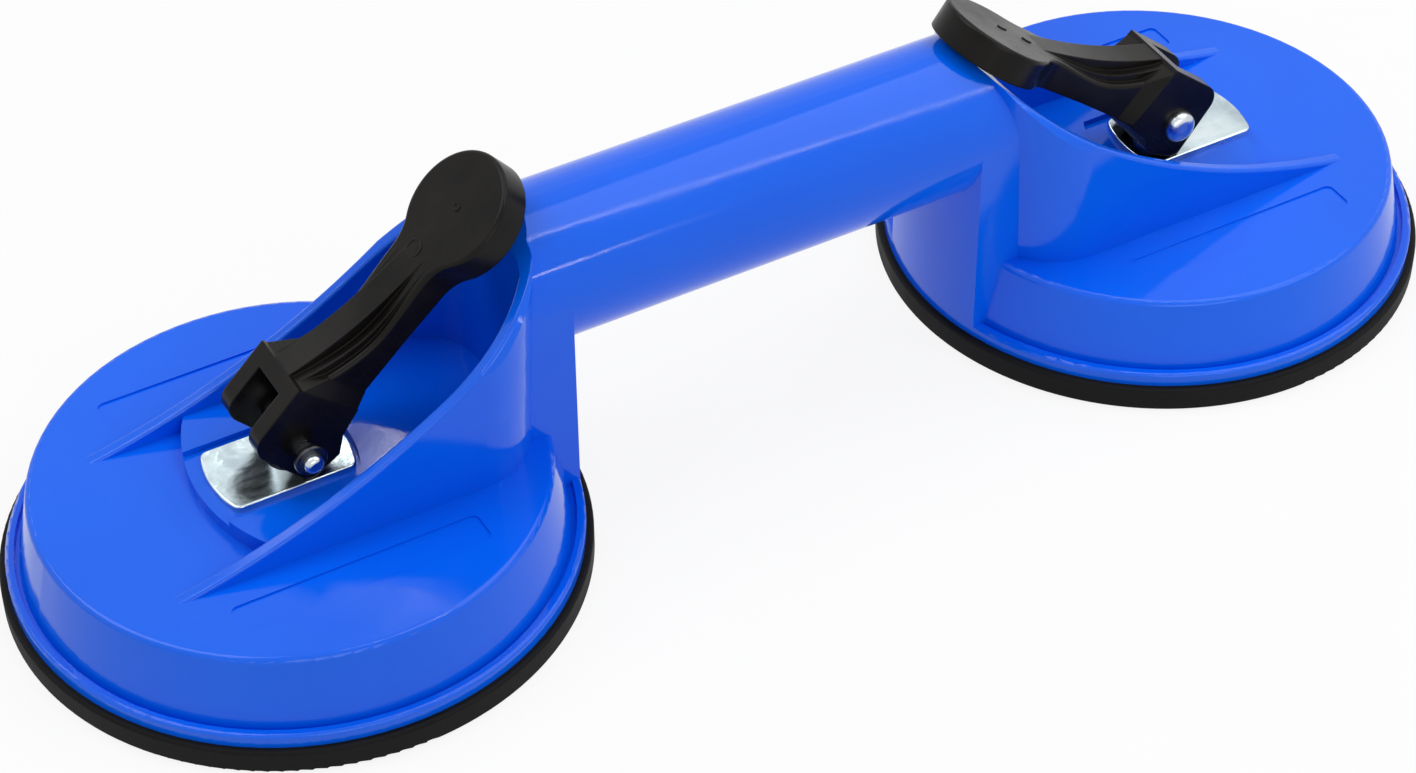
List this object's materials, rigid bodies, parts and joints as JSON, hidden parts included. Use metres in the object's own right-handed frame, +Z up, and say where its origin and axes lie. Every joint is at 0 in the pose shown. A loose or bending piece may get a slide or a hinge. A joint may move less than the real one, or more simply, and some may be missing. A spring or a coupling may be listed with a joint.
{
  "type": "twin-cup suction lifter",
  "caption": "Twin-cup suction lifter for floor tiles and glass: a blue moulded grip between cups with black rubber pads, and black cam levers on steel studs.",
  "frame": {"origin": "on the ground under the middle of the grip, at the centre of the part's bottom", "axes": "+X along the grip, +Y across it, +Z up"},
  "size_m": [0.322, 0.118, 0.0808],
  "materials": {
    "blue_shell": "gloss moulded ABS",
    "black_rubber": "matte moulded",
    "zinc_steel": "bright zinc plate",
    "black_lever": "semi-gloss moulded nylon",
    "plated_pin": "bright nickel plate"
  },
  "bodies": {
    "frame": {"housing": "blue_shell", "rubber_pad_left": "black_rubber", "rubber_pad_right": "black_rubber"},
    "stud_left": {"pull_stud_left": "zinc_steel", "backing_disc_left": "zinc_steel", "pivot_pin_left": "plated_pin", "retaining_ring_left": "plated_pin"},
    "lever_left": {"lever_left": "black_lever"},
    "plate_left": {"wear_plate_left": "zinc_steel"},
    "stud_right": {"pull_stud_right": "zinc_steel", "backing_disc_right": "zinc_steel", "pivot_pin_right": "plated_pin", "retaining_ring_right": "plated_pin"},
    "lever_right": {"lever_right": "black_lever"},
    "plate_right": {"wear_plate_right": "zinc_steel"}
  },
  "joints": [
    {"name": "stud_lift_left", "type": "slide", "parent": "frame", "child": "stud_left", "axis": [0, 0, 1], "range_m": [0, 0.00285]},
    {"name": "lever_turn_left", "type": "hinge", "parent": "stud_left", "child": "lever_left", "pos_m": [-0.102, 0, 0.03511], "axis": [0, -1, 0], "range_deg": [0, 135.6]},
    {"name": "plate_play_left", "type": "slide", "parent": "frame", "child": "plate_left", "axis": [-1, 0, 0], "range_m": [0, 0.0046]},
    {"name": "stud_lift_right", "type": "slide", "parent": "frame", "child": "stud_right", "axis": [0, 0, 1], "range_m": [0, 0.00294]},
    {"name": "lever_turn_right", "type": "hinge", "parent": "stud_right", "child": "lever_right", "pos_m": [0.102, 0, 0.03511], "axis": [0, 1, 0], "range_deg": [0, 140]},
    {"name": "plate_play_right", "type": "slide", "parent": "frame", "child": "plate_right", "axis": [1, 0, 0], "range_m": [-0.0046, 0]}
  ],
  "couplings": [
    {"joint": "lever_turn_left", "follows": "stud_lift_left", "rad_per_m": 831.1},
    {"joint": "lever_turn_right", "follows": "stud_lift_right", "rad_per_m": 831.1}
  ]
}
